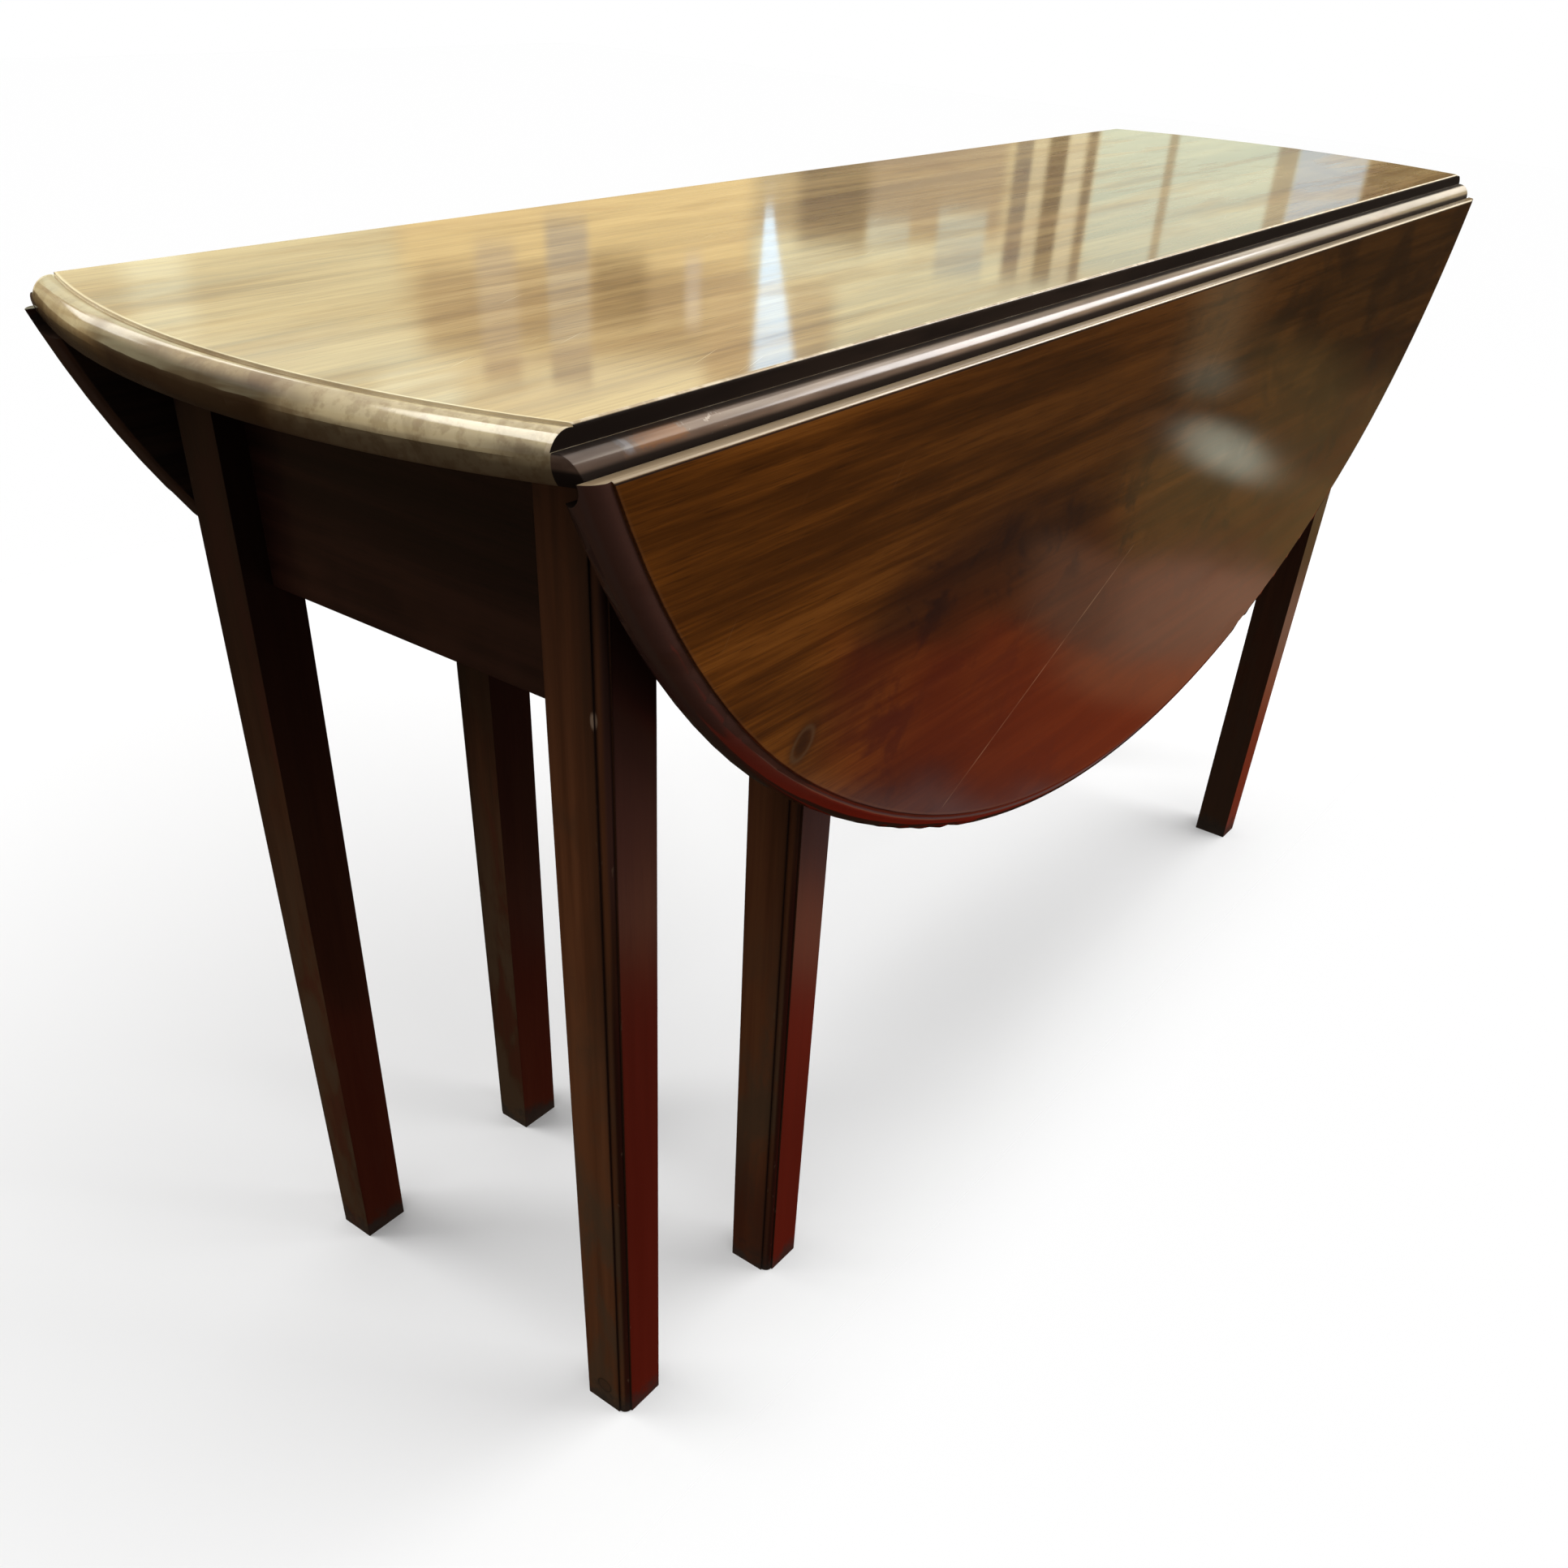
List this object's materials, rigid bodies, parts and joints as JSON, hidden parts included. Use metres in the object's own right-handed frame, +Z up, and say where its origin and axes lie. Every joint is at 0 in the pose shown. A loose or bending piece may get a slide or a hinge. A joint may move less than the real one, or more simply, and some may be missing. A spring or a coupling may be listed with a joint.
{
  "type": "drop-leaf hunt table",
  "caption": "Long narrow table with bowed ends, oval drop leaves on rule joints, square moulded legs and gate legs that carry the raised leaves.",
  "frame": {"origin": "on the floor under the middle of the top, leaves hanging", "axes": "+X along the table towards the far end, +Y across towards the rear leaf, +Z up"},
  "size_m": [1.37, 0.4212, 0.735],
  "materials": {
    "polished_top": "high gloss French polish",
    "polished_leaf": "high gloss French polish",
    "leg_wood": "worn French polish",
    "apron_wood": "worn French polish",
    "rail_wood": "bare aged wood",
    "hinge_iron": "dark wrought iron",
    "screw_steel": "dulled steel"
  },
  "bodies": {
    "frame": {"top_board": "polished_top", "near_front_leg": "leg_wood", "near_rear_leg": "leg_wood", "far_front_leg": "leg_wood", "far_rear_leg": "leg_wood", "near_end_apron": "apron_wood", "far_end_apron": "apron_wood", "middle_cross_rail": "rail_wood", "top_blocks": "rail_wood", "top_block_screws": "screw_steel", "front_inner_rail": "rail_wood", "rear_inner_rail": "rail_wood", "front_short_rail": "rail_wood", "rear_short_rail": "rail_wood", "front_knuckle_rail": "rail_wood", "rear_knuckle_rail": "rail_wood", "front_fly_rail": "rail_wood", "rear_fly_rail": "rail_wood", "front_gate_leg": "leg_wood", "rear_gate_leg": "leg_wood", "front_gate_pin": "hinge_iron", "rear_gate_pin": "hinge_iron", "front_rail_screws": "screw_steel", "rear_rail_screws": "screw_steel", "front_hinge_top_flaps": "hinge_iron", "rear_hinge_top_flaps": "hinge_iron", "front_hinge_pins": "hinge_iron", "rear_hinge_pins": "hinge_iron", "front_top_flap_screws": "screw_steel", "rear_top_flap_screws": "screw_steel"},
    "front_leaf": {"front_leaf": "polished_leaf", "front_hinge_leaf_flaps": "hinge_iron", "front_leaf_flap_screws": "screw_steel"},
    "rear_leaf": {"rear_leaf": "polished_leaf", "rear_hinge_leaf_flaps": "hinge_iron", "rear_leaf_flap_screws": "screw_steel"}
  },
  "joints": [
    {"name": "front_leaf_drop", "type": "hinge", "parent": "frame", "child": "front_leaf", "pos_m": [0, -0.19075, 0.71514], "axis": [-1, 0, 0], "range_deg": [0, 90]},
    {"name": "rear_leaf_drop", "type": "hinge", "parent": "frame", "child": "rear_leaf", "pos_m": [0, 0.19075, 0.71514], "axis": [1, 0, 0], "range_deg": [0, 90]}
  ]
}
